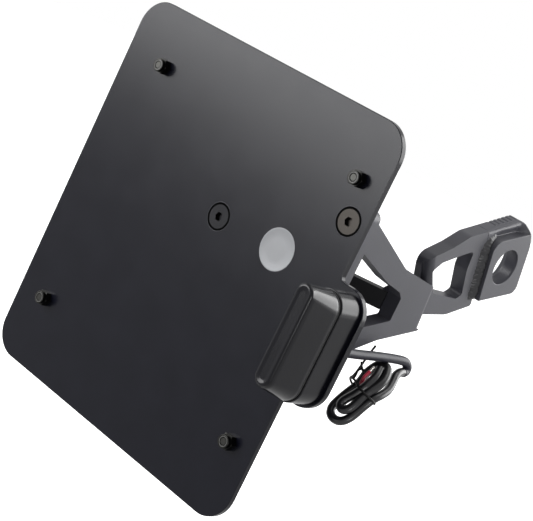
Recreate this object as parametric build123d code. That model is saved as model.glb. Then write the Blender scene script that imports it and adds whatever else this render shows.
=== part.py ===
from build123d import *
import math
import os

# Side-mount license plate holder for a motorbike.
# Origin: on the axle bore's centre line, at the arm's back face.
# +X to the right seen from behind the bike, +Y forward, +Z up.

# Base plate
plate_width = 180.0
plate_height = 200.0
plate_thickness = 3.0
plate_corner = 15.0
plate_top = 46.4
axle_reach = 130.0

# Ear that carries the light
ear_out = 20.0
ear_height = 58.4
ear_corner = 12.5
ear_inner_corner = 2.0
ear_root = 30.0
light_drop = 101.3

# Flange behind the base plate
flange_thickness = 5.0
flange_top_drop = 38.7
flange_height = 80.8
flange_bar = 28.0
flange_nose = 14.0
flange_corner = 4.0

# Side plate
side_thickness = 8.0
side_length = 71.3
side_foot_top = 3.2
side_leg_foot = 14.6
side_end_round = 4.0

# Brace
brace_thickness = 8.0
brace_height = 9.2
brace_angle = 39.4
brace_land = 28.3

# Arm
arm_thickness = 8.0
arm_slope = 35.3
arm_near_end = -54.4
arm_round_from = 12.8
arm_tip_round = 4.6
arm_lobe = 6.0
arm_window_corner = 3.0
tongue_overlap = 15.8
tongue_height = 9.6
tongue_drop = 0.8

# Axle block
block_thickness = 12.0
bore_diameter = 19.2
bore_chamfer = 0.2
groove_depth = 3.6
groove_taper = 26.0
groove_corner = 0.7
groove_bead_height = 1.3

# Countersunk screws
flange_screw = 6.0
flange_screw_head = 12.0
flange_screw_socket = 4.0
flange_screw_socket_depth = 2.0
inner_screw_in = 78.3
inner_screw_drop = 77.7
outer_screw_in = 9.9
outer_screw_drop = 47.9

# Number plate screws and lock nuts
plate_screw = 4.0
plate_screw_head = 8.0
plate_screw_head_height = 2.6
plate_screw_recess = 2.4
plate_screw_recess_depth = 1.3
screw_side_in = 14.6
screw_inner_top = 28.9
screw_inner_bottom = 21.3
screw_top_drop = 29.2
screw_bottom_drop = 162.8
nut_across_flats = 7.0
nut_hex_height = 3.4
nut_collar = 6.4
nut_collar_height = 1.9
nut_lip = 0.45
nut_ring_height = 1.4

# Light
light_width = 18.0
light_length = 54.4
light_base_height = 14.2
light_wall = 2.0
light_gap = 1.2
cover_height = 21.8
cover_foot_inset = 0.6
face_width = 9.4
face_length = 48.6
face_shift_out = 2.7
face_shift_up = 3.6
face_lip = 0.8
face_recess = 0.4
lens_length = 36.0
lens_height = 11.0
lens_lift = 5.5
lens_corner = 2.0
lens_clearance = 0.15
board_width = 9.0
board_inset = 6.2
board_thickness = 1.2
led_size = 4.0
led_height = 1.6
led_pitch = 13.0
light_screw_inset = 9.2
light_screw_length = 9.0
light_post = 7.0

# Lead
boot_neck = 7.6
boot_flange = 11.0
boot_flange_height = 1.5
boot_tail = 6.2
boot_tail_height = 5.0
jacket_diameter = 4.2
cable_diameter = 3.8
hank_length = 38.0
hank_width = 17.6
hank_thickness = 8.4
hank_angle = 59.0
hank_middle = (28.2, -97.0, -73.6)
tie_wire = 1.0
tie_gap = 0.2
wire_diameter = 1.8
wire_length = 7.5
wire_from = 4.0
wire_aside = 1.5
tip_diameter = 1.2
tip_length = 3.0

# Sticker
sticker_diameter = 22.0
sticker_thickness = 0.15
sticker_in = 39.5
sticker_drop = 75.7

# Welds and clearances
bead_leg = 3.5
bead_end = 1.5
block_bead_leg = 7.0
slip = 0.05
hole_slack = 0.2

# Places that follow from the sizes
plate_right = arm_thickness + side_thickness
plate_back = -axle_reach
plate_front = plate_back - plate_thickness
flange_back = plate_back + flange_thickness
side_end = flange_back + side_length
bracket_middle = plate_top - flange_top_drop - flange_height / 2
light_x = plate_right + ear_out - 1.8 - light_width / 2
light_z = plate_top - light_drop
base_top = plate_front - light_base_height
cover_foot = base_top - light_gap

plate_face = Plane(origin=(0, plate_back, 0), x_dir=(1, 0, 0), z_dir=(0, -1, 0))
side_face = Plane(origin=(arm_thickness, 0, 0), x_dir=(0, 1, 0), z_dir=(1, 0, 0))
arm_back = Plane(origin=(0, 0, 0), x_dir=(0, 1, 0), z_dir=(1, 0, 0))


def rounded(points, radii):
    """A flat face whose corners have the given radii, in order."""
    return make_face(FilletPolyline(*points, radius=radii, close=True))


def along_y(y):
    """A plane that faces the viewer at the depth y, with X across and Z up."""
    return Plane(origin=(0, y, 0), x_dir=(1, 0, 0), z_dir=(0, -1, 0))


def plate_point(inward, drop):
    """A place on the base plate, from its right edge and its top edge."""
    return (plate_right - inward, plate_top - drop)


def plate_screw_places():
    """The four screws that hold the number plate, from the top left to the bottom right."""
    return [
        (plate_right - plate_width + screw_inner_top, plate_top - screw_top_drop),
        plate_point(screw_side_in, screw_top_drop),
        (plate_right - plate_width + screw_inner_bottom, plate_top - screw_bottom_drop),
        plate_point(screw_side_in, screw_bottom_drop),
    ]


def flange_screw_places():
    """The two countersunk screws: the inner one, then the outer one."""
    return [
        plate_point(inner_screw_in, inner_screw_drop),
        plate_point(outer_screw_in, outer_screw_drop),
    ]


def light_screw_places():
    """The two screws from behind the ear into the light."""
    half = light_length / 2 - light_screw_inset
    return [(light_x, light_z + half), (light_x, light_z - half)]


# Base plate with its ear
def make_base_plate():
    sheet = Location((plate_right - plate_width / 2, plate_top - plate_height / 2)) * RectangleRounded(
        plate_width, plate_height, plate_corner
    )
    ear_middle = plate_right + ear_out - (ear_out + ear_root) / 2
    ear = Location((ear_middle, light_z)) * RectangleRounded(ear_out + ear_root, ear_height, ear_corner)
    outline = sheet + ear
    inner_corners = [
        v
        for v in outline.vertices()
        if abs(v.X - plate_right) < 0.1 and abs(abs(v.Y - light_z) - ear_height / 2) < 0.1
    ]
    outline = fillet(inner_corners, ear_inner_corner)
    plate = extrude(plate_face * outline, plate_thickness)
    edge = plate.faces().sort_by(Axis.Y)[0].outer_wire().edges()
    plate = chamfer(edge, 0.3)
    for x, z in plate_screw_places() + light_screw_places():
        plate -= plate_face * Location((x, z)) * Cylinder(
            plate_screw / 2 + hole_slack, 4 * plate_thickness
        )
    for x, z in flange_screw_places():
        plate -= screw_seat(x, z, slip)
    plate -= plate_face * Location((light_x, light_z)) * Cylinder(
        boot_neck / 2 + hole_slack, 4 * plate_thickness
    )
    return plate


def screw_seat(x, z, gap):
    """Head and shank of a countersunk screw, grown by a gap, from the plate's front."""
    shank = flange_screw / 2 + gap
    head = flange_screw_head / 2 + gap
    depth = plate_thickness + flange_thickness
    profile = Polyline((0, 0), (head, 0), (shank, head - shank), (shank, depth), (0, depth), close=True)
    return Location((x, plate_front, z)) * revolve(make_face(profile), Axis.Y)


def make_flange_screw(x, z):
    screw = screw_seat(x, z, 0)
    socket = RegularPolygon(flange_screw_socket / 2, 6, major_radius=False)
    hole = extrude(along_y(plate_front) * Location((x, z)) * socket, -flange_screw_socket_depth)
    return screw - hole


# Flange: a bar at the side plate, drawn in to a nose round the inner screw
def make_flange_plate():
    top = bracket_middle + flange_height / 2
    bottom = bracket_middle - flange_height / 2
    left = plate_right - flange_bar
    nose_x, nose_z = flange_screw_places()[0]
    reach = math.hypot(left - nose_x, top - nose_z)
    lean = math.atan2(top - nose_z, left - nose_x) + math.asin(flange_nose / reach)
    upper = (nose_x - flange_nose * math.sin(lean), nose_z + flange_nose * math.cos(lean))
    lower_reach = math.hypot(left - nose_x, bottom - nose_z)
    dive = math.atan2(nose_z - bottom, left - nose_x) + math.asin(flange_nose / lower_reach)
    lower = (nose_x - flange_nose * math.sin(dive), nose_z - flange_nose * math.cos(dive))
    outline = make_face(
        FilletPolyline(
            (left, top),
            (plate_right, top),
            (plate_right, bottom),
            (left, bottom),
            lower,
            upper,
            radius=[flange_corner, flange_corner, flange_corner, flange_corner, 0, 0],
            close=True,
        )
    )
    outline += Location((nose_x, nose_z)) * Circle(flange_nose)
    flange = extrude(plate_face * outline, -flange_thickness)
    for x, z in flange_screw_places():
        flange -= screw_seat(x, z, slip)
    return flange


# Side plate: two legs on the flange that meet in a wide tip
def side_points():
    """Outer and inner outline of the V, from the flange's back and its middle line."""
    foot = flange_back
    tip = side_end
    top = side_foot_top
    inner_top = side_foot_top - side_leg_foot
    bottom = 2 * bracket_middle - side_foot_top
    inner_bottom = bottom + side_leg_foot
    middle = bracket_middle
    outer = [
        (foot, top),
        (tip - 35.2, middle + 19.5),
        (tip - 3.3, middle + 14.1),
        (tip, middle - 7.8),
        (tip - 2.4, middle - 8.9),
        (tip - 30.0, middle - 17.2),
        (foot, bottom),
    ]
    inner = [
        (foot, inner_bottom),
        (tip - 44.6, middle - 12.0),
        (tip - 27.4, middle - 6.6),
        (tip - 27.6, middle + 5.2),
        (tip - 30.8, middle + 7.9),
        (tip - 43.8, middle + 11.0),
        (foot, inner_top),
    ]
    return outer, inner


def make_side_plate():
    outer, inner = side_points()
    outline = rounded(outer + inner, [0, 12, 2.5, 1.5, 2.5, 12, 0, 0, 6, 1, 1, 1.5, 6, 0])
    plate = extrude(side_face * outline, side_thickness)
    upper = Vector(plate_right, outer[2][0], outer[2][1])
    lower = Vector(plate_right, outer[3][0], outer[3][1])
    along = (lower - upper).normalized()
    ahead = (0, along.Z, -along.Y)
    return plate - edge_round(upper - along * 5, ahead, along, side_end_round, (lower - upper).length + 5)


# Brace from the side plate's tip down to the flange, beside the inner screw
def brace_corners():
    slope = math.tan(math.radians(brace_angle))
    near = side_end - brace_land
    across = brace_thickness / math.cos(math.radians(brace_angle))
    far = near + across
    return [
        (arm_thickness, near),
        (arm_thickness, far),
        (arm_thickness - (far - flange_back) / slope, flange_back),
        (arm_thickness - (near - flange_back) / slope, flange_back),
    ]


def make_brace_bar():
    face = make_face(Polyline(*brace_corners(), close=True))
    bottom = bracket_middle - brace_height / 2
    return extrude(Plane.XY.offset(bottom) * face, brace_height)


# Arm: window, thin near end rounded over at the front, tongue behind the side plate
def joint_line(z):
    """Y of the joint between arm and block at a height z."""
    return -12.0 - 0.439 * (z + 12.5)


def tongue_middle():
    return bracket_middle - tongue_drop


def arm_points():
    tongue_left = side_end - tongue_overlap
    tongue_top = tongue_middle() + tongue_height / 2
    return [
        (-61.3, -7.6),
        (-46.5, 1.3),
        (-36.5, 9.1),
        (joint_line(14.3), 14.3),
        (joint_line(-24.9), -24.9),
        (-25.0, -32.6),
        (tongue_left, tongue_top - tongue_height),
        (tongue_left, tongue_top),
        (side_end + 3.3, tongue_top),
    ]


def make_arm_plate():
    outline = rounded(arm_points(), [arm_lobe, 14, 12, 0, 1.5, 14, 1, 1, 3])
    window = rounded(
        [
            (-54.0, -12.5),
            (-49.5, -7.4),
            (-37.0, -1.4),
            (-27.6, 2.6),
            (-26.0, -7.5),
            (-19.4, -20.5),
            (-23.0, -23.4),
            (-45.0, -23.4),
        ],
        [2.0, 3.0, 10.0, 2.0, 8.0, 2.0, 2.5, arm_window_corner],
    )
    return extrude(arm_back * (outline - window), arm_thickness) - near_end_round()


def near_end_round():
    """What the rounding of the arm's near end takes off its front edge."""
    slope = math.radians(arm_slope)
    ahead = (0, math.cos(slope), math.sin(slope))
    upward = (0, -math.sin(slope), math.cos(slope))
    corner = Vector(arm_thickness, 0, 0) + Vector(*ahead) * arm_near_end + Vector(*upward) * arm_round_from
    return edge_round(corner, ahead, upward, arm_tip_round, 40)


def edge_round(corner, ahead, along, radius, length):
    """What a rounding takes off a front edge that runs along from a corner; ahead points inwards."""
    plane = Plane(origin=tuple(corner), x_dir=tuple(ahead), z_dir=tuple(along))
    r = radius
    near = r * (1 - math.sqrt(0.5))
    outline = make_face(
        Line((-2, -2), (r, -2))
        + Line((r, -2), (r, 0))
        + ThreePointArc((r, 0), (near, near), (0, r))
        + Line((0, r), (-2, r))
        + Line((-2, r), (-2, -2))
    )
    return extrude(plane * outline, length)


# Axle block with its bore and the tapering groove under its top edge
def groove_form():
    """The groove's own form: a long wedge, cut from the front with sloping walls."""
    outline = rounded(
        [(-22.0, 13.9), (0.2, 22.6), (8.2, 19.9), (-20.6, 10.8)],
        [groove_corner, groove_corner, 0.5, groove_corner],
    )
    front = Plane(origin=(block_thickness, 0, 0), x_dir=(0, 1, 0), z_dir=(-1, 0, 0))
    return extrude(front * mirror(outline, Plane.XZ), groove_depth, taper=groove_taper)


def make_axle_block():
    outline = rounded(
        [
            (joint_line(14.3), 14.3),
            (2.6, 25.2),
            (12.6, 18.0),
            (21.9, -11.6),
            (joint_line(-20.9), -20.9),
        ],
        [0, 2.5, 4.0, 4.5, 0.8],
    )
    block = extrude(arm_back * outline, block_thickness)
    block -= groove_form()
    bore = arm_back * Cylinder(bore_diameter / 2, 4 * block_thickness)
    block -= bore
    rim = [
        e
        for e in block.edges().filter_by(GeomType.CIRCLE)
        if abs(e.radius - bore_diameter / 2) < 0.01 and e.center().X > block_thickness - 0.1
    ]
    return chamfer(rim, bore_chamfer)


# Weld beads: a rounded fillet in the corner of two faces
def bead(start, end, side_a, side_b, leg):
    """A bar in a right-angled corner from start to end, with a leg along each side."""
    path = Vector(*end) - Vector(*start)
    plane = Plane(origin=start, x_dir=side_a, z_dir=tuple(path.normalized()))
    up = Vector(*side_b).dot(plane.y_dir)
    tip = leg if up > 0 else -leg
    bulge = 0.62
    outline = make_face(
        Line((0, 0), (leg, 0))
        + ThreePointArc((leg, 0), (leg * bulge, tip * bulge), (0, tip))
        + Line((0, tip), (0, 0))
    )
    return extrude(plane * outline, path.length)


def make_block_bead():
    """The wide bead between the arm's face and the block's wall, along the joint."""
    upper = Vector(arm_thickness, joint_line(9.5), 9.5)
    lower = Vector(arm_thickness, joint_line(-22.4), -22.4)
    run = lower - upper
    plane = Plane(origin=tuple(upper), x_dir=(1, 0, 0), z_dir=tuple(run.normalized()))
    away = plane.y_dir
    sign = 1 if away.Y < 0 else -1
    rise = block_thickness - arm_thickness - 0.4
    spread = sign * block_bead_leg
    outline = make_face(
        Line((0, 0), (rise, 0))
        + ThreePointArc((rise, 0), (rise * 0.75, spread * 0.55), (0, spread))
        + Line((0, spread), (0, 0))
    )
    return extrude(plane * outline, run.length)


def make_groove_bead():
    """The thin bead at the bottom of the block's groove."""
    level = block_thickness - groove_depth + groove_bead_height
    return groove_form() & Location((level, 0, 0)) * Box(
        2 * groove_depth, 100, 100, align=(Align.MAX, Align.CENTER, Align.CENTER)
    )


def make_side_beads():
    """Beads inside the two feet of the side plate."""
    outer, inner = side_points()
    x = arm_thickness
    top = bead(
        (x, flange_back, inner[-1][1] + bead_end),
        (x, flange_back, outer[0][1] - bead_end),
        (-1, 0, 0),
        (0, 1, 0),
        bead_leg,
    )
    bottom = bead(
        (x, flange_back, outer[-1][1] + bead_end),
        (x, flange_back, inner[0][1] - bead_end),
        (-1, 0, 0),
        (0, 1, 0),
        bead_leg,
    )
    return top, bottom


def make_arm_beads():
    """Beads above and below the arm's tongue, on the side plate's inner face."""
    tongue_top = tongue_middle() + tongue_height / 2
    tongue_bottom = tongue_top - tongue_height
    start = side_end - tongue_overlap + bead_end
    stop = side_end - bead_end
    x = arm_thickness
    leg = 2.5
    top = bead((x, start, tongue_top), (x, stop, tongue_top), (-1, 0, 0), (0, 0, 1), leg)
    bottom = bead((x, start, tongue_bottom), (x, stop, tongue_bottom), (-1, 0, 0), (0, 0, -1), leg)
    return top, bottom


def make_brace_beads():
    """Beads on top of the brace, at the side plate and at the flange."""
    near, far, foot_far, foot_near = brace_corners()
    slope = math.tan(math.radians(brace_angle))
    top = bracket_middle + brace_height / 2
    x = arm_thickness
    tip = bead((x, near[1] + 0.3, top), (x, far[1] - bead_leg * slope - 0.3, top), (-1, 0, 0), (0, 0, 1), bead_leg)
    foot = bead(
        (foot_far[0] + bead_leg / slope + 0.3, flange_back, top),
        (foot_near[0] - 0.3, flange_back, top),
        (0, 1, 0),
        (0, 0, 1),
        bead_leg,
    )
    return tip, foot


# Number plate screws from behind, with their lock nuts in front
def make_plate_screw(x, z):
    length = plate_thickness + nut_hex_height + nut_collar_height - 0.3
    head = along_y(plate_back) * Location((x, z, -plate_screw_head_height / 2)) * Cylinder(
        plate_screw_head / 2, plate_screw_head_height
    )
    head = fillet(head.edges().sort_by(Axis.Y)[-1], 1.0)
    shank = along_y(plate_back) * Location((x, z, length / 2)) * Cylinder(plate_screw / 2, length)
    shank = chamfer(shank.edges().sort_by(Axis.Y)[0], 0.4)
    recess = RegularPolygon(plate_screw_recess / 2, 6, major_radius=False)
    socket = extrude(
        along_y(plate_back + plate_screw_head_height) * Location((x, z)) * recess, plate_screw_recess_depth
    )
    return head + shank - socket


def make_lock_nut(x, z):
    flats = nut_across_flats / 2
    corner = flats / math.cos(math.pi / 6)
    hexagon = extrude(
        along_y(plate_front) * Location((x, z)) * RegularPolygon(flats, 6, major_radius=False), nut_hex_height
    )
    crown = Cone(corner + nut_hex_height * 2, corner - 0.35, nut_hex_height, align=(Align.CENTER, Align.CENTER, Align.MIN))
    nut = hexagon & (along_y(plate_front) * Location((x, z)) * crown)
    collar_top = plate_front - nut_hex_height
    collar = along_y(collar_top) * Location((x, z, nut_collar_height / 2)) * Cylinder(
        nut_collar / 2, nut_collar_height
    )
    collar = fillet(collar.edges().sort_by(Axis.Y)[0], 0.3)
    nut += collar
    nut -= along_y(plate_front) * Location((x, z)) * Cylinder(
        plate_screw / 2 + slip, 4 * nut_hex_height
    )
    nut -= along_y(collar_top) * Location((x, z, nut_collar_height - nut_ring_height / 2 - 0.1)) * Cylinder(
        nut_collar / 2 - nut_lip, nut_ring_height
    )
    return nut - along_y(collar_top - nut_collar_height) * Location((x, z)) * Cylinder(
        nut_collar / 2 - nut_lip - 0.2, 1.0
    )


def make_nut_ring(x, z):
    middle = plate_front - nut_hex_height - nut_collar_height + nut_ring_height / 2 + 0.1
    outer = Cylinder(nut_collar / 2 - nut_lip - slip, nut_ring_height - 2 * slip)
    inner = Cylinder(plate_screw / 2 + slip, 2 * nut_ring_height)
    return along_y(middle) * Location((x, z)) * (outer - inner)


# Light: base, gasket, drafted cover with its lens on the plate's side, board and LEDs
def stadium(width, length, x, z):
    return Location((x, z)) * Rot(0, 0, 90) * SlotOverall(length, width)


def make_light_base():
    outer = extrude(along_y(plate_front) * stadium(light_width, light_length, light_x, light_z), light_base_height)
    outer = fillet(outer.edges().sort_by(Axis.Y)[:4], 0.5)
    inner = extrude(
        along_y(plate_front - light_wall)
        * stadium(light_width - 2 * light_wall, light_length - 2 * light_wall, light_x, light_z),
        light_base_height,
    )
    base = outer - inner
    for x, z in light_screw_places():
        post = along_y(plate_front) * Location((x, z, light_base_height / 2)) * Cylinder(
            light_post / 2, light_base_height
        )
        hole = along_y(plate_front) * Location((x, z, light_screw_length / 2)) * Cylinder(
            plate_screw / 2 + slip, light_screw_length
        )
        base = base + post - hole
    return base - along_y(plate_front) * Location((light_x, light_z)) * Cylinder(
        jacket_diameter / 2 + hole_slack, 4 * light_wall
    )


def make_light_gasket():
    outer = stadium(light_width - 1.6, light_length - 1.6, light_x, light_z)
    inner = stadium(light_width - 2 * light_wall, light_length - 2 * light_wall, light_x, light_z)
    return extrude(along_y(base_top) * (outer - inner), light_gap)


def cover_form(inset, foot_cut, top_cut):
    """The drafted cover between its foot and its narrow face, drawn in by an inset."""
    foot = along_y(cover_foot - foot_cut) * stadium(
        light_width - 2 * cover_foot_inset - 2 * inset,
        light_length - 2 * cover_foot_inset - 2 * inset,
        light_x,
        light_z,
    )
    face = along_y(cover_foot - cover_height + top_cut) * stadium(
        face_width - 2 * inset, face_length - 2 * inset, light_x + face_shift_out, light_z + face_shift_up
    )
    return loft([foot.face(), face.face()])


def lens_window(gap):
    """Window through the cover's wall on the side of the number plate."""
    outline = Location((lens_lift + lens_height / 2, light_z + 0.8)) * RectangleRounded(
        lens_height - 2 * gap, lens_length - 2 * gap, lens_corner
    )
    plane = Plane(origin=(light_x - 1.0, cover_foot, 0), x_dir=(0, -1, 0), z_dir=(-1, 0, 0))
    return extrude(plane * outline, light_width)


def cover_shell():
    outer = cover_form(0, 0, 0)
    outer = fillet(outer.edges().sort_by(Axis.Y)[:4], 0.9)
    return outer - cover_form(1.8, -0.01, 1.8)


def make_light_cover():
    shell = cover_shell() - lens_window(0)
    pocket = stadium(
        face_width - 2 * face_lip, face_length - 2 * face_lip, light_x + face_shift_out, light_z + face_shift_up
    )
    top = cover_foot - cover_height
    return shell - extrude(along_y(top + face_recess) * pocket, 2 * face_recess)


def make_light_lens():
    return cover_shell() & lens_window(lens_clearance)


def make_led_board():
    blank = Location((light_x, light_z)) * RectangleRounded(board_width, light_length - 2 * board_inset, 1.5)
    return extrude(along_y(base_top) * blank, board_thickness)


def make_leds():
    """Three light-emitting diodes in a row on the board."""
    top = along_y(base_top - board_thickness)
    row = []
    for step in (-1, 0, 1):
        place = Location((light_x, light_z + step * led_pitch, led_height / 2))
        row.append(top * place * Box(led_size, led_size, led_height))
    return Compound(children=row)


def make_light_screw(x, z):
    length = plate_thickness + light_screw_length - 0.5
    head = along_y(plate_back) * Location((x, z, -plate_screw_head_height / 2)) * Cylinder(
        plate_screw_head / 2, plate_screw_head_height
    )
    head = fillet(head.edges().sort_by(Axis.Y)[-1], 1.0)
    shank = along_y(plate_back) * Location((x, z, length / 2)) * Cylinder(plate_screw / 2, length)
    recess = RegularPolygon(plate_screw_recess / 2, 6, major_radius=False)
    socket = extrude(
        along_y(plate_back + plate_screw_head_height) * Location((x, z)) * recess, plate_screw_recess_depth
    )
    return head + shank - socket


# Lead: moulded boot, grey jacket, black tail, tied hank and the wire's end
def make_cable_boot():
    back = boot_flange_height
    tail = boot_flange_height + boot_tail_height
    profile = make_face(
        Polyline(
            (0, -plate_thickness),
            (boot_neck / 2, -plate_thickness),
            (boot_neck / 2, 0),
            (boot_flange / 2, 0),
            (boot_flange / 2, back),
            (boot_tail / 2, back + 0.6),
            (jacket_diameter / 2 + 0.4, tail),
            (0, tail),
            close=True,
        )
    )
    return Location((light_x, plate_back, light_z)) * revolve(profile, Axis.Y)


def boot_end():
    return plate_back + boot_flange_height + boot_tail_height


def jacket_route():
    """From the boot straight back, then a tight turn down."""
    x = light_x
    y = boot_end()
    z = light_z
    return [
        (x, y, z),
        (x, y + 12.0, z),
        (x + 0.2, y + 25.5, z + 0.8),
        (x + 0.3, y + 39.0, z + 1.2),
        (x + 0.5, y + 49.0, z + 1.1),
        (x + 0.8, y + 52.6, z - 0.6),
        (x + 1.3, y + 54.1, z - 3.9),
        (x + 2.0, y + 53.2, z - 7.2),
    ]


def tail_route():
    """From the jacket's end back towards the plate and into the hank."""
    before, end = jacket_route()[-2:]
    ahead = (Vector(*end) - Vector(*before)).normalized() * 3.7
    x, y, z = hank_middle
    return [
        end,
        (end[0] + ahead.X, end[1] + ahead.Y, end[2] + ahead.Z),
        (x + 2.0, y + 22.4, z + 6.2),
        (x + 4.0, y + 17.0, z + 5.2),
        (x + 5.2, y + 11.6, z + 4.4),
        (x + 5.7, y + 6.8, z + 3.5),
    ]


def corner_radii(route):
    """An arc for each corner of a route, as large as its two runs allow."""
    radii = []
    for before, here, after in zip(route, route[1:], route[2:]):
        first = Vector(*here) - Vector(*before)
        second = Vector(*after) - Vector(*here)
        turn = math.radians(first.get_angle(second))
        radii.append(0.45 * min(first.length, second.length) / math.tan(turn / 2))
    return radii


def tube(route, diameter):
    path = FilletPolyline(*route, radius=corner_radii(route))
    start = Vector(*route[0])
    ahead = Vector(*route[1]) - start
    section = Plane(origin=tuple(start), z_dir=tuple(ahead.normalized())) * Circle(diameter / 2)
    solid = sweep(section, path=path)
    ratio = solid.volume / (path.length * math.pi * diameter**2 / 4)
    print("tube", diameter, "radii", [round(r, 1) for r in corner_radii(route)], "volume ratio", round(ratio, 4))
    return solid


def hank_plane():
    """Plane in the hank: its X runs down along the hank, its Y across it."""
    lean = math.radians(hank_angle)
    down = (0, -math.cos(lean), -math.sin(lean))
    out = (0, -math.sin(lean), math.cos(lean))
    return Plane(origin=hank_middle, x_dir=down, z_dir=out)


def make_lead_hank():
    outline = SlotOverall(hank_length, hank_width)
    hank = extrude(hank_plane() * outline, hank_thickness / 2, both=True)
    return fillet(hank.edges(), cable_diameter / 2)


def make_wire_tie():
    """A wire loop round the hank's middle."""
    plane = hank_plane()
    across = Plane(origin=hank_middle, x_dir=tuple(plane.y_dir), z_dir=tuple(plane.x_dir))
    inner = RectangleRounded(hank_width + 2 * tie_gap, hank_thickness + 2 * tie_gap, cable_diameter / 2)
    outer = RectangleRounded(
        hank_width + 2 * tie_gap + 2 * tie_wire,
        hank_thickness + 2 * tie_gap + 2 * tie_wire,
        cable_diameter / 2 + tie_wire,
    )
    return extrude(across * (outer - inner), tie_wire / 2, both=True)


def wire_place(along, radius):
    """A plane across the loose wire, which lies on the hank's face and points up along it."""
    plane = hank_plane()
    lift = hank_thickness / 2 + radius + 2 * slip
    place = plane.origin - plane.x_dir * along - plane.y_dir * wire_aside + plane.z_dir * lift
    return Plane(origin=tuple(place), x_dir=tuple(plane.y_dir), z_dir=tuple(plane.x_dir * -1))


def make_wire_end():
    return wire_place(wire_from, wire_diameter / 2) * Cylinder(
        wire_diameter / 2, wire_length, align=(Align.CENTER, Align.CENTER, Align.MIN)
    )


def make_wire_tip():
    return wire_place(wire_from + wire_length, wire_diameter / 2) * Cylinder(
        tip_diameter / 2, tip_length, align=(Align.CENTER, Align.CENTER, Align.MIN)
    )


# Round bare sticker on the plate
def make_id_sticker():
    x, z = plate_point(sticker_in, sticker_drop)
    return extrude(along_y(plate_front) * Location((x, z)) * Circle(sticker_diameter / 2), sticker_thickness)


nodes = {
    "base_plate": make_base_plate(),
    "flange_plate": make_flange_plate(),
    "side_plate": make_side_plate(),
    "brace_bar": make_brace_bar(),
    "arm_plate": make_arm_plate(),
    "axle_block": make_axle_block(),
    "weld_block": make_block_bead(),
    "weld_block_top": make_groove_bead(),
    "light_base": make_light_base(),
    "light_gasket": make_light_gasket(),
    "light_cover": make_light_cover(),
    "light_lens": make_light_lens(),
    "led_board": make_led_board(),
    "leds": make_leds(),
    "cable_boot": make_cable_boot(),
    "lead_jacket": tube(jacket_route(), jacket_diameter),
    "lead_tail": tube(tail_route(), cable_diameter),
    "lead_hank": make_lead_hank(),
    "wire_tie": make_wire_tie(),
    "wire_end": make_wire_end(),
    "wire_tip": make_wire_tip(),
    "id_sticker": make_id_sticker(),
}
nodes["weld_side_upper"], nodes["weld_side_lower"] = make_side_beads()
nodes["weld_arm_upper"], nodes["weld_arm_lower"] = make_arm_beads()
nodes["weld_brace"], nodes["weld_brace_foot"] = make_brace_beads()
for name, place in zip(("inner", "outer"), flange_screw_places()):
    nodes[f"flange_screw_{name}"] = make_flange_screw(*place)
for name, place in zip(("upper", "lower"), light_screw_places()):
    nodes[f"light_screw_{name}"] = make_light_screw(*place)
for number, place in enumerate(plate_screw_places(), 1):
    nodes[f"plate_screw_{number}"] = make_plate_screw(*place)
    nodes[f"lock_nut_{number}"] = make_lock_nut(*place)
    nodes[f"nut_ring_{number}"] = make_nut_ring(*place)

os.makedirs("parts", exist_ok=True)
for name, shape in nodes.items():
    export_step(shape, f"parts/{name}.step")
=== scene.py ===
import math

import bpy
import numpy as np
from mathutils import Matrix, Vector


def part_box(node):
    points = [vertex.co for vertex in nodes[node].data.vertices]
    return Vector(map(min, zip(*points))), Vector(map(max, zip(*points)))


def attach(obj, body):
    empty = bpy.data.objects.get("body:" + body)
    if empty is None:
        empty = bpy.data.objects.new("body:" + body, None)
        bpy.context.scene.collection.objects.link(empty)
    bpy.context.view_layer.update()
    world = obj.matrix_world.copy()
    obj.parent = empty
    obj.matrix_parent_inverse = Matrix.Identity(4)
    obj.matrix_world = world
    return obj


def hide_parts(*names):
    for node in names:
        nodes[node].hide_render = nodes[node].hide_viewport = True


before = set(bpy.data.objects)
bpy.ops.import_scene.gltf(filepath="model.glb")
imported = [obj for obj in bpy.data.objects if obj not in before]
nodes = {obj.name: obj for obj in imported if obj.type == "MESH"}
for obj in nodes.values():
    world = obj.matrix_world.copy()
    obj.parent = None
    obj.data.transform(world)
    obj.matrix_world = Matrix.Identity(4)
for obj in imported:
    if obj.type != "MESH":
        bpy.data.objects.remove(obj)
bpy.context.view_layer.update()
mm = 0.001

# Camera
# It stands to the right of the bike's tail and looks down a little, rolled to the left,
# so that the plate lies across the picture on its corner.
camera_place = (0.38650, -0.67103, 0.07925)
camera_turn = (79.2511, -25.5608, 42.1157)
camera_lens = 101.498
camera_data = bpy.data.cameras.new("camera")
camera_data.lens = camera_lens
camera_data.sensor_width = 36.0
camera_data.clip_start = 0.01
camera = bpy.data.objects.new("camera", camera_data)
camera.location = camera_place
camera.rotation_euler = [math.radians(turn) for turn in camera_turn]
bpy.context.collection.objects.link(camera)
bpy.context.scene.camera = camera

# Lead
# A soft black cable leaves the moulded boot behind the light, runs forward inside a grey jacket,
# turns down and is folded into a small hank that a twist of coated wire holds.
cable_diameter = 4.2 * mm
jacket_diameter = 4.5 * mm
hank_middle = np.array((28.2, -97.0, -73.6)) * mm
hank_angle = math.radians(59.0)
hank_down = np.array((0.0, -math.cos(hank_angle), -math.sin(hank_angle)))
hank_out = np.array((0.0, -math.sin(hank_angle), math.cos(hank_angle)))
jacket_route = [
    (26.2, -123.5, -54.9),
    (26.2, -111.5, -54.9),
    (26.4, -98.0, -54.1),
    (26.5, -84.5, -53.7),
    (26.7, -74.5, -53.6),
    (26.9, -69.3, -54.1),
    (27.3, -66.4, -56.6),
    (28.0, -67.8, -59.2),
    (28.7, -73.0, -58.7),
]
tail_route = [
    (30.2, -78.0, -60.2),
    (32.4, -81.0, -63.4),
    (34.8, -85.2, -66.4),
    (35.8, -90.4, -68.8),
]
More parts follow.
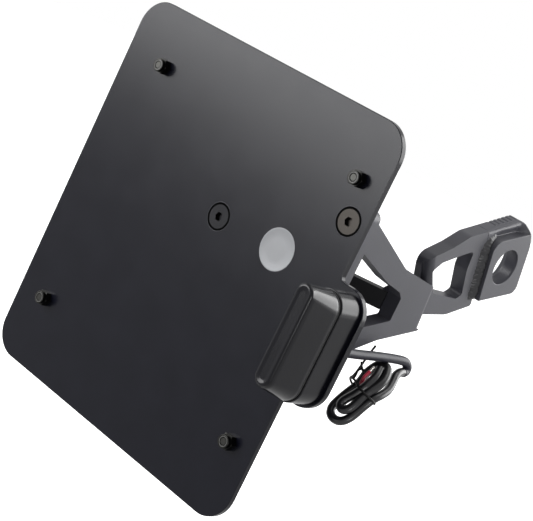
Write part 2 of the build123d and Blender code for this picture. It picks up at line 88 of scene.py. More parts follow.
# The hank's turns, each place given down along it, across it and out of it towards the plate.
hank_turns = [
    (-3.1, 7.3, -0.8),
    (2.0, 6.0, -1.2),
    (7.4, 5.4, -1.3),
    (11.2, 4.6, -1.3),
    (14.5, 2.4, -1.3),
    (15.4, -1.2, -1.2),
    (14.3, -4.3, -1.1),
    (12.0, -5.9, -1.0),
    (9.7, -6.3, -1.0),
    (6.6, -6.1, -1.0),
    (2.5, -5.6, -1.0),
    (-1.4, -4.8, -1.0),
    (-4.0, -4.3, -1.1),
    (-7.1, -4.7, -1.4),
    (-9.7, -5.3, -1.8),
    (-11.8, -5.8, -2.0),
    (-15.6, -5.2, -2.0),
    (-17.9, -4.1, -1.6),
    (-19.6, -1.9, -1.2),
    (-19.3, 1.3, -0.8),
    (-17.5, 3.4, -0.4),
    (-13.2, 5.6, 0.4),
    (-9.5, 5.9, 1.2),
    (-5.5, 5.2, 1.9),
    (-2.5, 4.6, 2.1),
    (1.1, 4.1, 2.1),
    (5.2, 3.9, 2.0),
    (8.6, 3.1, 2.0),
    (10.4, 1.0, 2.1),
    (9.6, -1.4, 2.2),
    (7.2, -2.1, 2.3),
    (4.3, -1.0, 2.5),
    (1.4, 0.4, 2.8),
    (-1.8, 1.6, 3.3),
    (-3.6, 2.1, 3.6),
    (-5.6, 2.6, 3.6),
    (-9.2, 2.6, 3.0),
    (-13.0, 2.0, 2.4),
    (-16.2, 0.2, 1.6),
]


def in_hank(down, across, out):
    """A place in the hank: its middle, moved down along it, across it and out of it, in mm."""
    shift = down * hank_down + across * np.array((1.0, 0.0, 0.0)) + out * hank_out
    return hank_middle + mm * shift


def smooth_curve(name, points, diameter):
    """A round cord along a quadratic NURBS line, with the points as its control points."""
    data = bpy.data.curves.new(name, "CURVE")
    data.dimensions = "3D"
    spline = data.splines.new("NURBS")
    spline.points.add(len(points) - 1)
    for control, place in zip(spline.points, points):
        control.co = (*place, 1.0)
    spline.order_u = 3
    spline.use_endpoint_u = True
    spline.resolution_u = 12
    data.bevel_depth = diameter / 2
    data.bevel_resolution = 8
    data.use_fill_caps = True
    piece = bpy.data.objects.new(name, data)
    bpy.context.collection.objects.link(piece)
    return piece


def line_points(piece):
    """The points of a curve's own line, read from the curve with its thickness off."""
    thickness = piece.data.bevel_depth
    piece.data.bevel_depth = 0.0
    line = bpy.data.meshes.new_from_object(piece)
    points = np.empty(3 * len(line.vertices))
    line.vertices.foreach_get("co", points)
    bpy.data.meshes.remove(line)
    piece.data.bevel_depth = thickness
    return points.reshape(-1, 3)


def grid_mesh(name, points, around=False, capped=False, looped=False):
    """A mesh from a grid of points: each four neighbours make a face. It may be closed round each
    row, capped at both ends, or have its last row joined to its first."""
    rows, columns = points.shape[:2]
    index = np.arange(rows * columns).reshape(rows, columns)
    if looped:
        index = np.concatenate((index, index[:1]))
    after = np.roll(index, -1, axis=1) if around else index[:, 1:]
    here = index if around else index[:, :-1]
    quads = np.stack((here[:-1], after[:-1], after[1:], here[1:]), axis=-1).reshape(-1, 4)
    faces = quads.tolist()
    if capped:
        faces += [index[0, ::-1].tolist(), index[-1].tolist()]
    mesh = bpy.data.meshes.new(name)
    mesh.from_pydata(points.reshape(-1, 3).tolist(), [], faces)
    mesh.polygons.foreach_set("use_smooth", np.ones(len(faces), dtype=bool))
    mesh.update()
    piece = bpy.data.objects.new(name, mesh)
    bpy.context.collection.objects.link(piece)
    return piece


def along_line(line):
    """Two directions square to a line at each of its points, carried along it without twist."""
    ahead = np.gradient(line, axis=0)
    ahead /= np.linalg.norm(ahead, axis=1, keepdims=True)
    side = np.empty_like(line)
    first = np.cross(ahead[0], (0.0, 0.0, 1.0))
    side[0] = first / np.linalg.norm(first)
    for step in range(1, len(line)):
        carried = side[step - 1] - ahead[step] * (side[step - 1] @ ahead[step])
        side[step] = carried / np.linalg.norm(carried)
    return side, np.cross(ahead, side)


def tube_mesh(name, line, radius, steps=32):
    """A round tube: each point of the line, plus the radius there times the cosine and the sine of
    the angle in its two square directions."""
    side, up = along_line(line)
    turn = np.linspace(0.0, 2 * math.pi, steps, endpoint=False)
    reach = np.broadcast_to(radius, len(line))[:, None, None]
    ring = np.cos(turn)[None, :, None] * side[:, None, :]
    ring = ring + np.sin(turn)[None, :, None] * up[:, None, :]
    return grid_mesh(name, line[:, None, :] + reach * ring, around=True, capped=True)


drift_scale = 60.0
drift_detail = 3.0
colour_drift = 0.2
gloss_drift = 0.15
grain_detail = 2.0


def plastic(name, colour, roughness, grain=0.0, grain_size=0.4, specular=0.5):
    """A finish whose colour and gloss drift a little over the piece. Where a grain is given, fine
    noise of that height and grain_size, both in millimetres, roughens the surface."""
    material = bpy.data.materials.new(name)
    material.use_nodes = True
    tree = material.node_tree
    shader = tree.nodes["Principled BSDF"]
    shader.inputs["Specular IOR Level"].default_value = specular
    place = tree.nodes.new("ShaderNodeTexCoord")
    drift = tree.nodes.new("ShaderNodeTexNoise")
    drift.inputs["Scale"].default_value = drift_scale
    drift.inputs["Detail"].default_value = drift_detail
    tree.links.new(place.outputs["Object"], drift.inputs["Vector"])
    shade = tree.nodes.new("ShaderNodeMix")
    shade.data_type = "RGBA"
    darker = [part * (1.0 - colour_drift) for part in colour]
    lighter = [min(1.0, part * (1.0 + colour_drift)) for part in colour]
    shade.inputs[6].default_value = (*darker, 1.0)
    shade.inputs[7].default_value = (*lighter, 1.0)
    tree.links.new(drift.outputs["Fac"], shade.inputs[0])
    tree.links.new(shade.outputs[2], shader.inputs["Base Color"])
    gloss = tree.nodes.new("ShaderNodeMapRange")
    gloss.inputs["To Min"].default_value = roughness * (1.0 - gloss_drift)
    gloss.inputs["To Max"].default_value = min(1.0, roughness * (1.0 + gloss_drift))
    tree.links.new(drift.outputs["Fac"], gloss.inputs["Value"])
    tree.links.new(gloss.outputs["Result"], shader.inputs["Roughness"])
    if grain:
        fine = tree.nodes.new("ShaderNodeTexNoise")
        fine.inputs["Scale"].default_value = 1.0 / (grain_size * mm)
        fine.inputs["Detail"].default_value = grain_detail
        tree.links.new(place.outputs["Object"], fine.inputs["Vector"])
        bump = tree.nodes.new("ShaderNodeBump")
        bump.inputs["Strength"].default_value = 1.0
        bump.inputs["Distance"].default_value = grain * mm
        tree.links.new(fine.outputs["Fac"], bump.inputs["Height"])
        tree.links.new(bump.outputs["Normal"], shader.inputs["Normal"])
    return material


def finish_node(name, material):
    """Gives a CAD node its finish."""
    nodes[name].material_slots[0].material = material


cable_points = [mm * np.array(point) for point in jacket_route + tail_route]
cable_points += [in_hank(*turn) for turn in hank_turns]
cable = smooth_curve("lead_cable", cable_points, cable_diameter)
cable_black = plastic(
    "black_cable_sleeve", (0.005, 0.005, 0.006), 0.30, grain=0.02, grain_size=0.5, specular=0.4
)
cable.data.materials.append(cable_black)
cable_line = line_points(cable)

jacket_end = mm * (np.array(jacket_route[-2]) + np.array(jacket_route[-1])) / 2
jacket_last = int(np.argmin(np.linalg.norm(cable_line - jacket_end, axis=1)))
jacket = tube_mesh("lead_grey_jacket", cable_line[: jacket_last + 1], jacket_diameter / 2)
jacket_grey = plastic(
    "grey_jacket", (0.010, 0.010, 0.016), 0.42, grain=0.03, grain_size=0.8, specular=0.2
)
jacket.data.materials.append(jacket_grey)
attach(jacket, "root")
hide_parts("lead_jacket")

boot_rubber = plastic("boot_rubber", (0.02, 0.02, 0.021), 0.55, grain=0.02)
finish_node("cable_boot", boot_rubber)

# Loose wire end
# One core of the cable comes out of its cut end: a red insulated wire, stripped at its tip to
# show bare tinned copper strands, which are twisted together.
red_diameter = 1.8 * mm
red_turns = [(-5.0, -1.6, 1.6), (-7.0, -1.5, 3.6), (-9.4, -1.2, 4.2), (-11.6, -1.2, 4.0)]
red_route = [in_hank(*turn) for turn in red_turns]
red_wire = smooth_curve("red_wire_end", red_route, red_diameter)
red_wire.data.materials.append(plastic("red_insulation", (0.42, 0.02, 0.05), 0.4))
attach(red_wire, "root")
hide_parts("wire_end")
strand_count = 5
strand_points = 24
strand_length = 3.2 * mm
strand_diameter = 0.45 * mm
strand_twist = 1.6
strand_spread = 0.38 * mm
strand_flare = 0.35
strand_tuck = 0.1


def twisted_strands(name, start, ahead):
    """Strands that wind round a straight line: each turns strand_twist times over the length, from
    its own start angle, at a distance that grows along it by none, one or two times
    strand_flare."""
    along = np.linspace(0.0, 1.0, strand_points)
    ahead = ahead / np.linalg.norm(ahead)
    side = np.cross(ahead, (1.0, 0.0, 0.0))
    side /= np.linalg.norm(side)
    up = np.cross(ahead, side)
    pieces = []
    for number in range(strand_count):
        angle = 2 * math.pi * (strand_twist * along + number / strand_count)
        spread = strand_spread * (1.0 + strand_flare * along * (number % 3))
        outward = np.cos(angle)[:, None] * side + np.sin(angle)[:, None] * up
        line = start + along[:, None] * strand_length * ahead + spread[:, None] * outward
        pieces.append(tube_mesh(f"{name}_{number + 1}", line, strand_diameter / 2, steps=8))
    return pieces


tinned = plastic("tinned_copper", (0.75, 0.72, 0.68), 0.25)
tinned.node_tree.nodes["Principled BSDF"].inputs["Metallic"].default_value = 1.0
tip_ahead = red_route[-1] - red_route[-2]
strands = twisted_strands("tinned_strand", red_route[-1] - strand_tuck * tip_ahead, tip_ahead)
for strand in strands:
    strand.data.materials.append(tinned)
    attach(strand, "root")
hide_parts("wire_tip")

# Wire tie
# A thin black coated wire goes round the hank's waist and over its own start, is twisted once,
# and ends in two loose tails.
tie_diameter = 1.1 * mm
tie_turns = [
    (-24.8, -11.1, 0.0),
    (-20.6, -10.7, 0.0),
    (-14.0, -10.0, -0.6),
    (-8.0, -9.4, -1.2),
    (-4.4, -8.8, 0.6),
    (-4.6, -6.6, 3.2),
    (-4.0, -3.4, 4.6),
    (-1.6, 1.4, 6.0),
    (-1.2, 6.0, 4.8),
    (-1.4, 9.3, 2.0),
    (-1.8, 9.4, -2.0),
    (-2.4, 6.5, -4.0),
    (-3.0, 0.0, -4.2),
    (-3.6, -6.0, -3.9),
    (-4.2, -9.0, -2.4),
    (-4.8, -8.4, 2.2),
    (-4.6, -4.4, 4.9),
    (-6.4, -5.2, 4.6),
    (-9.3, -6.2, 4.6),
    (-10.6, -4.0, 4.8),
    (-9.2, -2.6, 5.0),
    (-10.6, -5.4, 4.8),
    (-12.9, -7.7, 4.4),
]
tie = smooth_curve("wire_twist_tie", [in_hank(*turn) for turn in tie_turns], tie_diameter)
tie.data.materials.append(plastic("tie_coating", (0.003, 0.003, 0.003), 0.45, specular=0.15))
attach(tie, "root")
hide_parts("wire_tie")

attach(cable, "root")
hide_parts("lead_tail", "lead_hank")

# Base plate
# A laser-cut sheet steel plate with an ear for the light, its edges broken, in satin black
# powder coat.
plate_black = plastic(
    "satin_black_powder_coat",
    (0.0021, 0.0023, 0.0050),
    0.23,
    grain=0.006,
    grain_size=0.5,
    specular=0.165,
)
finish_node("base_plate", plate_black)

# Bracket
# Laser-cut steel plates welded together: flange, V-shaped side plate, brace and windowed arm,
# powder coated after welding in a semi-gloss black that shows grey in the light.
bracket_black = plastic(
    "semi_gloss_powder_coat", (0.034, 0.034, 0.042), 0.42, grain=0.03, grain_size=0.7, specular=0.35
)
for name in ("flange_plate", "side_plate", "arm_plate"):
    finish_node(name, bracket_black)
# Painted shade: the brace has the bracket's coat, made darker and less glossy because it lies in
# the plate's shadow.
brace_coat_painted_shade = plastic(
    "brace_painted_shade_coat", (0.006, 0.006, 0.007), 0.5, grain=0.03, grain_size=0.7, specular=0.06
)
finish_node("brace_bar", brace_coat_painted_shade)

# Axle block
# A steel block milled to a raised pad round the axle's bore, with a lower rim along its top edge
# and six shallow saw cuts across that edge. The seat behind the bore is relieved.
block_outline = np.array([(-23.77, 14.3), (2.6, 25.2), (12.6, 18.0), (21.9, -11.6), (-8.31, -20.9)])
block_corners = np.array([0.4, 2.5, 4.0, 4.5, 0.8])
bore_radius = 9.6
bore_edge = 0.25
relief_radius = 14.5
relief_depth = 4.0
relief_draft = 0.1
seat_inset = 0.3
front_round = 0.8
rim_height = 8.0
rim_round = 2.2
rim_round_lost = 0.6
pad_height = 12.0
pad_wall = ((-8.3, -21.3), (-19.96, 11.1))
pad_top = ((-15.5, 12.2), (7.3, 20.18))
pad_corner = 6.5
pad_slope = (-0.25, 0.45)
run_out_along = (1.0, 9.5)
run_out_edge = (-1.0, 0.0)
foot_fillet = 0.7
fillet_under = 0.2
groove_depth = 0.9
groove_width = 4.2
groove_run_in = (-19.0, -12.0)
cut_count = 6
cut_first = 9.0
cut_pitch = 3.3
cut_depth = 0.4
cut_sides = (0.25, 0.8)
cut_foot = (5.0, 6.4)
on_edge = 0.05
block_limit = 40.0
halvings = 40
block_rays = 560
bore_rows = 8
front_shares = np.concatenate((np.linspace(0.0, 0.92, 112), np.linspace(0.925, 1.0, 22)))
side_shares = np.linspace(0.02, 1.0, 20)


def beyond(place, start, end):
    """How far a place lies to the left of the line from start to end, which is outside where the
    line is an edge of an outline that runs clockwise."""
    run = np.array(end, dtype=float) - np.array(start, dtype=float)
    run /= np.linalg.norm(run)
    return (place[..., 1] - start[1]) * run[0] - (place[..., 0] - start[0]) * run[1]


def rounded_beyond(first, second, radius):
    """Distance outside two straight edges whose corner is rounded: where both distances, with the
    radius added, are above nothing, the root of the sum of their squares less the radius, and
    elsewhere the larger distance."""
    a = first + radius
    b = second + radius
    corner = np.hypot(np.maximum(a, 0.0), np.maximum(b, 0.0)) - radius
    return np.where((a > 0) & (b > 0), corner, np.maximum(first, second))


def ease(value, low, high):
    """From 0 at low to 1 at high, level at both ends: three times the square of the way between
    them less twice its cube."""
    t = np.clip((value - low) / (high - low), 0.0, 1.0)
    return t * t * (3.0 - 2.0 * t)


def edge_drop(inside, radius):
    """How much a rounded edge falls: the radius less the root of its square less the square of what
    is left to the edge's inner line."""
    left = np.clip(radius - inside, 0.0, radius)
    return radius - np.sqrt(radius**2 - left**2)


def outline_beyond(place):
    """Distance outside the block's outline, with its rounded corners."""
    ends = np.roll(block_outline, -1, axis=0)
    edges = [beyond(place, start, end) for start, end in zip(block_outline, ends)]
    parts = [
        rounded_beyond(edges[number - 1], edges[number], radius)
        for number, radius in enumerate(block_corners)
    ]
    return np.max(parts, axis=0)


def block_height(place):
    """Front height: the rim, raised to the pad inside the pad's two edges and at the rim's right
    end, plus a fillet at the pad's foot, less the groove along the pad, which deepens towards it,
    and less what the rounded edges drop."""
    wall = beyond(place, *pad_wall)
    top = beyond(place, *pad_top)
    pad = rounded_beyond(wall, top, pad_corner)
    run_out = ease(place[..., 0], *run_out_along) * ease(top, *run_out_edge)
    rise = np.maximum(ease(-pad, *pad_slope), run_out)
    height = rim_height + (pad_height - rim_height) * rise
    corner = np.clip(1.0 - np.abs(pad) / foot_fillet, 0.0, 1.0) * (pad > -fillet_under)
    fillet = 1.0 - np.sqrt(np.clip(1.0 - corner**2, 0.0, 1.0))
    height += (1.0 - rise) * foot_fillet * fillet
    groove = ease(-top, -groove_width, 0.0) * ease(place[..., 0], *groove_run_in)
    height -= (1.0 - rise) * groove_depth * groove
    height -= edge_drop(-outline_beyond(place), front_round)
    rim_edge = -beyond(place, block_outline[0], block_outline[1])
    return height - edge_drop(rim_edge, rim_round) * (1.0 - rim_round_lost * rise)


def outline_reach(angle):
    """Distance from the bore's axis to the outline in each direction, found by halving the way
    between the bore and block_limit."""
    ray = np.stack((np.cos(angle), np.sin(angle)), axis=-1)
    low = np.full(len(angle), bore_radius)
    high = np.full(len(angle), block_limit)
    for _ in range(halvings):
        middle = (low + high) / 2
        outside = outline_beyond(middle[:, None] * ray) > 0
        high = np.where(outside, middle, high)
        low = np.where(outside, low, middle)
    return low


def axle_block():
    """Rings round the bore: up its wall, out over the front at block_height, down the outside,
    where the saw cuts draw it in, and back in over the relieved seat."""
    angle = np.linspace(0.0, 2 * math.pi, block_rays, endpoint=False)
    ray = np.stack((np.cos(angle), np.sin(angle)), axis=-1)
    reach = outline_reach(angle)
    rows = []

    def ring(radius, height):
        """Adds a ring at a radius from the bore's axis and a height off the seat."""
        spot = np.broadcast_to(radius, len(angle))[:, None] * ray
        rows.append(np.column_stack((np.broadcast_to(height, len(angle)), spot)))

    for height in np.linspace(relief_depth, pad_height - bore_edge, bore_rows):
        ring(bore_radius, height)
    for share in front_shares:
        radius = bore_radius + bore_edge + (reach - bore_radius - bore_edge) * share
        ring(radius, block_height(radius[:, None] * ray))
    edge = reach[:, None] * ray
    front = block_height(edge)
    along = (edge - block_outline[0]) @ (block_outline[1] - block_outline[0])
    along /= np.linalg.norm(block_outline[1] - block_outline[0])
    on_top = np.abs(beyond(edge, block_outline[0], block_outline[1])) < on_edge
    cuts = np.zeros(len(angle))
    for number in range(cut_count):
        offset = np.abs(along - cut_first - cut_pitch * number)
        cuts = np.maximum(cuts, 1.0 - ease(offset, *cut_sides))
    for share in side_shares:
        height = front * (1.0 - share)
        depth = cut_depth * cuts * on_top * (1.0 - ease(height, *cut_foot))
        ring(reach - depth, height)
    ring(reach - seat_inset, 0.0)
    ring(relief_radius, 0.0)
    ring(relief_radius - relief_draft, relief_depth)
    return grid_mesh("axle_block_milled", mm * np.stack(rows)[:, ::-1], around=True, looped=True)


block = axle_block()
block.data.materials.append(bracket_black)
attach(block, "root")
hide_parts("axle_block")

# Weld beads
# The block's bead is laid by hand in short overlapping pushes from the bottom up and round the
# pad's corner. The others are small fillets at the flange, the brace and the tongue. All are under
# the same coat as the bracket; the block's bead gets it darker, as painted shade in the corner at
# the pad's foot.
# Painted shade: the bracket's coat at about a third of its brightness, for the shade in the corner
# between pad and arm.
weld_coat_painted_shade = plastic(
    "coat_over_weld_painted_shade", (0.012, 0.012, 0.014), 0.36, grain=0.12, grain_size=1.1, specular=0.35
)
weld_path = mm * np.array(
    [
        (-10.0, -21.8),
        (-11.2, -18.0),
        (-13.2, -12.4),
        (-15.9, -5.0),
        (-18.2, 1.4),
        (-19.4, 5.2),
        (-19.2, 8.4),
        (-17.4, 11.0),
        (-14.8, 12.6),
    ]
)
weld_width = 6.0 * mm
weld_rise = 2.5 * mm
weld_crown = 2.4
weld_start = 3.0 * mm
weld_finish = 9.0 * mm
end_width = 0.45
end_rise = 0.03
weld_sunk = 0.1 * mm
weld_root = 0.5 * mm
push_length = 1.7 * mm
push_bow = 0.45
push_waves = ((0.04, 1.0), (0.05, 0.37))
wander_waves = ((0.10, 1.9, 0.0), (0.06, 4.3, 1.0))
bell_reach = 24
bell_spread = 9.0
weld_rows = 260
weld_columns = 30


def block_weld():
    """The path is smoothed with a bell curve. Across it the height is one less the power weld_crown
    of the way from the pad. Along it the root of the way from each end tapers it, and sines of
    the length make its bowed ripples and let its width wander."""
    knots = np.linspace(0.0, 1.0, len(weld_path))
    along = np.linspace(0.0, 1.0, weld_rows)
    spine = np.stack([np.interp(along, knots, weld_path[:, axis]) for axis in (0, 1)], axis=-1)
    bell = np.exp(-(np.arange(-bell_reach, bell_reach + 1) ** 2) / (2 * bell_spread**2))
    bell /= bell.sum()
    padded = np.pad(spine, ((bell_reach, bell_reach), (0, 0)), mode="reflect", reflect_type="odd")
    spine = np.stack([np.convolve(padded[:, axis], bell, mode="valid") for axis in (0, 1)], axis=-1)
    run = np.gradient(spine, axis=0)
    length = np.cumsum(np.linalg.norm(run, axis=1))
    run /= np.linalg.norm(run, axis=1, keepdims=True)
    right = np.stack((run[:, 1], -run[:, 0]), axis=-1)
    across = np.linspace(-1.0, 1.0, weld_columns)
    from_ends = np.minimum(length / weld_start, (length[-1] - length) / weld_finish)
    taper = np.sqrt(np.clip(from_ends, end_rise, 1.0))
    wander = 1.0
    for size, rate, start in wander_waves:
        wander = wander + size * np.sin(length / mm * rate + start)
    half = weld_width / 2 * (end_width + (1.0 - end_width) * taper) * wander
    push = 2 * math.pi * (length[:, None] / push_length + push_bow * across[None, :] ** 2)
    ripple = 1.0
    for size, rate in push_waves:
        ripple = ripple + size * np.sin(rate * push)
    crown = 1.0 - ((1.0 - across) / 2) ** weld_crown
    lift = weld_rise * taper[:, None] * crown[None, :] * ripple
    height = rim_height * mm - weld_sunk + lift
    aside = (half[:, None] * across[None, :])[..., None] * right[:, None, :]
    top = np.concatenate((height[..., None], spine[:, None, :] + aside), axis=-1)
    below = top[:, ::-1].copy()
    below[..., 0] = rim_height * mm - weld_root
    bead = np.concatenate((top, below), axis=1)
    return grid_mesh("weld_bead_block", bead[:, ::-1], around=True, capped=True)


weld = block_weld()
weld.data.materials.append(weld_coat_painted_shade)
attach(weld, "root")
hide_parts("weld_block", "weld_block_top")
for name in nodes:
    if name.startswith("weld"):
        finish_node(name, bracket_black)

# Screws
# Two M6 countersunk socket screws, a black one and a stainless one, each in a seat whose gap is a
# flat black ring of painted shadow with a bright edge, and small dark button heads behind the
# plate.
seat_lift = 0.015
seat_sunk = -0.1
seat_steps = 72
# Profiles as radius and height off the plate in mm: the first is a flat ring of painted shadow over
# the seat's gap.
seat_shadow_profile = [(5.75, seat_sunk), (5.8, seat_lift), (6.9, seat_lift), (6.95, seat_sunk)]
edge_profile = [(6.85, seat_sunk), (6.9, 0.02), (7.1, 0.03), (7.15, seat_sunk)]


def steel(name, colour, roughness):
    """Bare or plated metal with a fine grain."""
    material = plastic(name, colour, roughness, grain=0.01, grain_size=0.3)
    material.node_tree.nodes["Principled BSDF"].inputs["Metallic"].default_value = 1.0
    return material


finish_node("flange_screw_outer", steel("stainless_steel", (0.024, 0.022, 0.020), 0.36))
finish_node("flange_screw_inner", steel("black_oxide", (0.012, 0.012, 0.013), 0.38))
dark_zinc = steel("dark_zinc", (0.03, 0.03, 0.028), 0.35)
for name in nodes:
    if name.startswith(("plate_screw", "light_screw")):
        finish_node(name, dark_zinc)
# Painted shadow: a black, glossless ring standing in for the shade in the gap round each screw
# head.
painted_seat_shadow = plastic("shadow_in_seat", (0.002, 0.002, 0.002), 0.9, specular=0.0)
seat_edge = steel("bare_seat_edge", (0.03, 0.03, 0.033), 0.4)


def seat_ring(name, screw, profile):
    """A ring round a screw's axis: the profile's radius and its height off the plate, turned
    through a full circle."""
    low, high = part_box(screw)
    middle_x = (low[0] + high[0]) / 2
    middle_z = (low[2] + high[2]) / 2
    turn = np.linspace(0.0, 2 * math.pi, seat_steps, endpoint=False)
    radius, lift = mm * np.array(profile).T
    ring = np.empty((len(profile), len(turn), 3))
    ring[..., 0] = middle_x + radius[:, None] * np.cos(turn)
    ring[..., 1] = low[1] - lift[:, None]
    ring[..., 2] = middle_z + radius[:, None] * np.sin(turn)
    return grid_mesh(name, ring[:, ::-1], around=True, looped=True)


for side in ("inner", "outer"):
    screw = f"flange_screw_{side}"
    seat_shadow_ring = seat_ring(f"painted_seat_shadow_{side}", screw, seat_shadow_profile)
    edge_ring = seat_ring(f"seat_edge_{side}", screw, edge_profile)
    seat_shadow_ring.data.materials.append(painted_seat_shadow)
    edge_ring.data.materials.append(seat_edge)
    for ring in (seat_shadow_ring, edge_ring):
        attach(ring, "root")

# Lock nuts
# Nylon-insert nuts on the number plate's screws, dark plated steel, each with a dark grey ring of
# nylon pressed into its end.
nut_dark = steel("dark_nut_plating", (0.018, 0.018, 0.017), 0.32)
nylon = plastic("nylon", (0.02, 0.02, 0.018), 0.5)
for name in nodes:
    if name.startswith("lock_nut"):
        finish_node(name, nut_dark)
    if name.startswith("nut_ring"):
        finish_node(name, nylon)

# Light
# Gloss black moulded base and cover with a thin foam gasket between them, a clear lens on the
# plate's side and a white board with three diodes inside.
housing = plastic("gloss_black_moulding", (0.0028, 0.0028, 0.0044), 0.22, specular=0.18)
finish_node("light_base", housing)
cover_low, cover_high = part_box("light_cover")
cover_foot = cover_high[1]
cover_top = cover_low[1]
light_middle = (25.2, -54.9)
foot_size = (16.8, 53.2)
face_size = (9.4, 48.6)
face_shift = (2.7, 3.6)
cover_rim = 1.5
cover_wall = 1.8
roof_inset = 3.2
foot_edge = 0.1
foot_inset = 0.35
foot_share = 0.012
wall_start = 0.1
wall_rows = 8
rim_rows = 9
face_dish = 0.35
dish_edges = (1.3, 3.4)
dish_inset = 4.3
dish_rows = 16
arc_steps = 49
window = (5.5, 16.5, -17.2, 18.8)
window_corner = 2.0
window_steps = 32
window_reach = (-20.0, -1.0)


def stadium_ring(share, inset):
    """A slot shape between the foot's and the face's, drawn in by an inset: a half circle at each
    end, the two moved apart by the length less the width."""
    width, length = [a + (b - a) * share - 2 * inset for a, b in zip(foot_size, face_size)]
    x, z = [a + b * share for a, b in zip(light_middle, face_shift)]
    upper = np.linspace(0.0, math.pi, arc_steps)
    turn = np.concatenate((upper, upper + math.pi))
    apart = np.where(np.arange(2 * arc_steps) < arc_steps, 1.0, -1.0) * (length - width) / 2
    return np.stack((x + width / 2 * np.cos(turn), z + apart + width / 2 * np.sin(turn)), axis=-1)


def cover_shell():
    """Slots stacked from the inner roof down the inner wall, out over the foot, up the outside,
    round the rim's quarter circle and in over the dished face. Each step gives its share of the
    way from the foot's shape to the face's, its inset and its height."""
    height = (cover_foot - cover_top) / mm
    roof = height - cover_wall
    steps = [(1.0, roof_inset, roof), (roof / height, cover_wall, roof), (0.0, cover_wall, 0.0)]
    steps += [(0.0, foot_inset, 0.0), (0.0, foot_edge, foot_edge), (foot_share, 0.0, foot_inset)]
    wall_shares = np.linspace(wall_start, 1 - cover_rim / height, wall_rows)
    steps += [(share, 0.0, share * height) for share in wall_shares]
    for angle in np.linspace(0.0, math.pi / 2, rim_rows)[1:]:
        inset = cover_rim * (1 - math.cos(angle))
        steps.append((1.0, inset, height - cover_rim * (1 - math.sin(angle))))
    for inset in np.linspace(cover_rim, dish_inset, dish_rows)[1:]:
        steps.append((1.0, inset, height - face_dish * ease(np.array(inset), *dish_edges)))
    rows = []
    for share, inset, lift in steps:
        ring = stadium_ring(share, inset)
        depth = np.full(len(ring), cover_foot / mm - lift)
        rows.append(np.stack((ring[:, 0], depth, ring[:, 1]), axis=-1))
    return grid_mesh("light_cover_shell", mm * np.stack(rows)[:, ::-1], around=True, capped=True)


def window_block():
    """The window's form, a rounded rectangle through the wall on the plate's side: a circle whose
    quarters are moved apart to the corners."""
    near, far, low, high = window
    turn = np.linspace(0.0, 2 * math.pi, window_steps, endpoint=False) + math.pi / window_steps
    along = np.where(np.cos(turn) > 0, far - window_corner, near + window_corner)
    along += window_corner * np.cos(turn)
    up = np.where(np.sin(turn) > 0, high - window_corner, low + window_corner)
    up += window_corner * np.sin(turn)
    rows = [
        np.stack((np.full(window_steps, x), cover_foot / mm - along, light_middle[1] + up), axis=-1)
        for x in np.add(light_middle[0], window_reach)
    ]
    return grid_mesh("window_block", mm * np.stack(rows)[:, ::-1], around=True, capped=True)


cover = cover_shell()
cutter = window_block()
cutting = cover.modifiers.new("window", "BOOLEAN")
cutting.operation = "DIFFERENCE"
cutting.object = cutter
bpy.context.view_layer.update()
cut_cover = cover.evaluated_get(bpy.context.evaluated_depsgraph_get())
cut_mesh = bpy.data.meshes.new_from_object(cut_cover)
cover.modifiers.clear()
cover.data = cut_mesh
bpy.data.objects.remove(cutter)
cover.data.materials.append(housing)
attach(cover, "root")
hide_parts("light_cover")
finish_node("light_gasket", plastic("foam_gasket", (0.006, 0.006, 0.006), 0.8, grain=0.05))
finish_node("led_board", plastic("white_board", (0.7, 0.7, 0.68), 0.5))
finish_node("leds", plastic("diode_resin", (0.8, 0.72, 0.35), 0.3))
clear = plastic("clear_lens", (0.9, 0.92, 0.93), 0.12)
clear.node_tree.nodes["Principled BSDF"].inputs["Transmission Weight"].default_value = 0.85
finish_node("light_lens", clear)

# Sticker
# A round silver foil sticker, which is bare, stuck flat on the plate's face, with a slightly
# raised rim.
sticker_shift = (0.8, -0.15)
sticker_steps = 96
sticker_profile = [
    (10.2, 0.0),
    (10.2, 0.14),
    (10.0, 0.15),
    (9.5, 0.15),
    (9.35, 0.10),
    (5.0, 0.11),
    (0.4, 0.12),
]
low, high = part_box("id_sticker")
turn = np.linspace(0.0, 2 * math.pi, sticker_steps, endpoint=False)
profile = np.array(sticker_profile) * mm
disc = np.empty((len(profile), len(turn), 3))
disc[..., 0] = (low[0] + high[0]) / 2 + sticker_shift[0] * mm + profile[:, :1] * np.cos(turn)
disc[..., 1] = high[1] - profile[:, 1:]
disc[..., 2] = (low[2] + high[2]) / 2 + sticker_shift[1] * mm + profile[:, :1] * np.sin(turn)
sticker = grid_mesh("sticker_disc", disc[:, ::-1], around=True, capped=True)
silver = plastic("silver_foil", (0.142, 0.146, 0.153), 0.55, grain=0.01, grain_size=0.4)
silver.node_tree.nodes["Principled BSDF"].inputs["Metallic"].default_value = 0.25
sticker.data.materials.append(silver)
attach(sticker, "root")
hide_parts("id_sticker")

# Floor and backdrop
# A plain pale floor well below the holder, which is placed as its axle bore holds it on the bike,
# and plain white all round.
floor_level = -0.26
floor_half = 3.0
floor_mesh = bpy.data.meshes.new("floor")
floor_mesh.from_pydata(
    [
        (-floor_half, -floor_half, floor_level),
        (floor_half, -floor_half, floor_level),
        (floor_half, floor_half, floor_level),
        (-floor_half, floor_half, floor_level),
    ],
    [],
    [(0, 1, 2, 3)],
)
floor = bpy.data.objects.new("floor", floor_mesh)
bpy.context.collection.objects.link(floor)
floor_paint = bpy.data.materials.new("pale_floor")
floor_paint.use_nodes = True
tree = floor_paint.node_tree
tree.nodes["Principled BSDF"].inputs["Base Color"].default_value = (0.55, 0.55, 0.55, 1.0)
tree.nodes["Principled BSDF"].inputs["Roughness"].default_value = 0.9
glow = tree.nodes.new("ShaderNodeEmission")


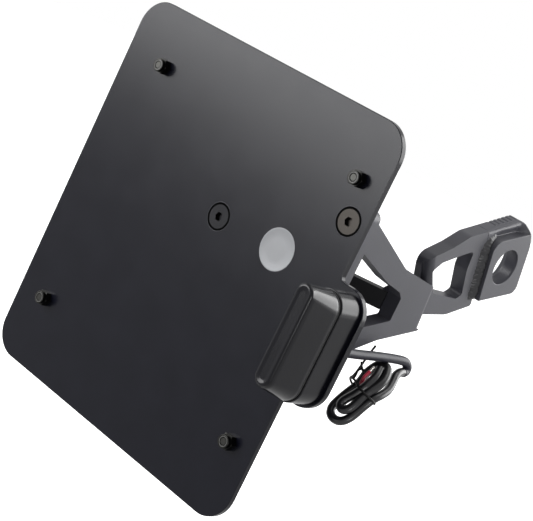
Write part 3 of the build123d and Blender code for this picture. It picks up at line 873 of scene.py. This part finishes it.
def seen_white(tree):
    """One for rays from the camera, mirrored rays and rays through clear plastic, else nothing."""
    rays = tree.nodes.new("ShaderNodeLightPath")
    larger = tree.nodes.new("ShaderNodeMath")
    larger.operation = "MAXIMUM"
    largest = tree.nodes.new("ShaderNodeMath")
    largest.operation = "MAXIMUM"
    tree.links.new(rays.outputs["Is Camera Ray"], larger.inputs[0])
    tree.links.new(rays.outputs["Is Glossy Ray"], larger.inputs[1])
    tree.links.new(larger.outputs[0], largest.inputs[0])
    tree.links.new(rays.outputs["Is Transmission Ray"], largest.inputs[1])
    return largest.outputs[0]


tree.links.new(seen_white(tree), glow.inputs["Strength"])
both = tree.nodes.new("ShaderNodeAddShader")
tree.links.new(tree.nodes["Principled BSDF"].outputs[0], both.inputs[0])
tree.links.new(glow.outputs[0], both.inputs[1])
mirrored = tree.nodes.new("ShaderNodeMixShader")
rays = tree.nodes.new("ShaderNodeLightPath")
tree.links.new(rays.outputs["Is Glossy Ray"], mirrored.inputs["Fac"])
tree.links.new(both.outputs[0], mirrored.inputs[1])
tree.links.new(glow.outputs[0], mirrored.inputs[2])
tree.links.new(mirrored.outputs[0], tree.nodes["Material Output"].inputs["Surface"])
floor_mesh.materials.append(floor_paint)

world = bpy.data.worlds.new("studio")
bpy.context.scene.world = world
world.use_nodes = True
tree = world.node_tree
plain_light = tree.nodes["Background"]
plain_light.inputs["Color"].default_value = (1.0, 1.0, 1.0, 1.0)
plain_light.inputs["Strength"].default_value = 0.30
white = tree.nodes.new("ShaderNodeBackground")
white.inputs["Color"].default_value = (1.0, 1.0, 1.0, 1.0)
white.inputs["Strength"].default_value = 1.0
choice = tree.nodes.new("ShaderNodeMixShader")
tree.links.new(seen_white(tree), choice.inputs["Fac"])
tree.links.new(plain_light.outputs[0], choice.inputs[1])
tree.links.new(white.outputs[0], choice.inputs[2])
tree.links.new(choice.outputs[0], tree.nodes["World Output"].inputs["Surface"])

# Lamps
# A large soft box to the left in front, whose lower edge the plate mirrors as its bright upper
# part, two behind on the right for the bracket's faces and the light's upper end, and weak ones at
# the right front and overhead.


def soft_box(name, place, aim, width, height, strength, lean=0.0):
    """A rectangular area lamp at a place, turned to face another, with its right end leaned down by
    an angle, unseen by the camera."""
    data = bpy.data.lights.new(name, "AREA")
    data.shape = "RECTANGLE"
    data.size = width
    data.size_y = height
    data.energy = strength
    lamp = bpy.data.objects.new(name, data)
    lamp.location = place
    back = np.array(place) - np.array(aim)
    back /= np.linalg.norm(back)
    level = np.cross((0.0, 0.0, 1.0), back)
    level /= np.linalg.norm(level)
    across = math.cos(lean) * level - math.sin(lean) * np.cross(back, level)
    up = np.cross(back, across)
    lamp.rotation_euler = Matrix(np.array((across, up, back)).T.tolist()).to_euler()
    lamp.visible_camera = False
    bpy.context.collection.objects.link(lamp)


plate_middle = (-0.074, -0.133, -0.05)
soft_box("key", (-1.08, -1.32, 0.37), plate_middle, 1.4, 1.0, 52.0, lean=math.radians(11.5))
soft_box("behind_right", (0.90, 1.31, 0.05), (0.0, -0.06, -0.03), 1.1, 0.60, 2.0)
soft_box("behind_above", (0.64, 1.15, 0.55), (0.0, -0.10, -0.05), 1.6, 1.0, 33.0)
soft_box("right_front", (1.25, -0.72, -0.24), (0.02, -0.06, 0.0), 0.4, 0.5, 11.0)
soft_box("overhead", (0.2, 0.1, 1.4), (0.0, -0.08, 0.0), 1.2, 0.8, 8.0)

bpy.context.scene.view_settings.view_transform = "Standard"
